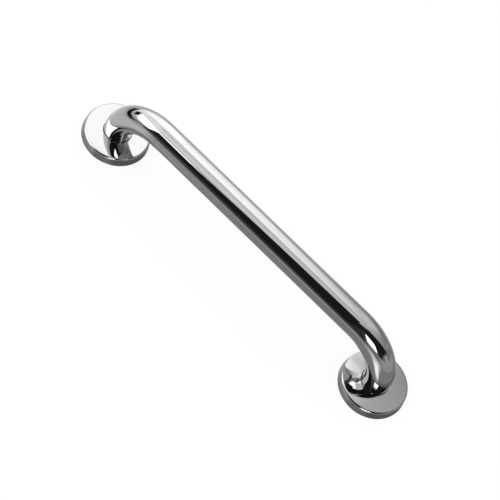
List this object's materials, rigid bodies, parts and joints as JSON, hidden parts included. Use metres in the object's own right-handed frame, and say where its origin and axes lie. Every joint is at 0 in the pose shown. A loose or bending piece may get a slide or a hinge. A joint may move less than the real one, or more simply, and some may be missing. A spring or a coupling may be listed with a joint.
{
  "type": "grab rail",
  "caption": "Straight grab rail: a round polished tube bent down at both ends onto screwed flanges, each hidden by a loose round cover that slides up its leg.",
  "frame": {"origin": "on the mounting surface, half-way between the centres of the two flanges", "axes": "+X along the grip, from the left flange to the right one; +Z away from the mounting surface, towards the grip; +Y across the grip"},
  "size_m": [0.486, 0.08, 0.114],
  "materials": {
    "polished_tube": "mirror polished stainless steel",
    "polished_cover": "mirror polished stainless steel",
    "plate_steel": "satin",
    "weld_steel": "satin",
    "screw_steel": "satin",
    "gasket_rubber": "matte"
  },
  "bodies": {
    "rail": {"rail_tube": "polished_tube", "left_flange_plate": "plate_steel", "left_flange_weld": "weld_steel", "left_flange_gasket": "gasket_rubber", "left_screw_1": "screw_steel", "left_screw_2": "screw_steel", "left_screw_3": "screw_steel", "right_flange_plate": "plate_steel", "right_flange_weld": "weld_steel", "right_flange_gasket": "gasket_rubber", "right_screw_1": "screw_steel", "right_screw_2": "screw_steel", "right_screw_3": "screw_steel"},
    "left_cover": {"left_cover": "polished_cover"},
    "right_cover": {"right_cover": "polished_cover"}
  },
  "joints": [
    {"name": "left_cover_slide", "type": "slide", "parent": "rail", "child": "left_cover", "axis": [0, 0, 1], "range_m": [0, 0.009]},
    {"name": "right_cover_slide", "type": "slide", "parent": "rail", "child": "right_cover", "axis": [0, 0, 1], "range_m": [0, 0.009]}
  ]
}
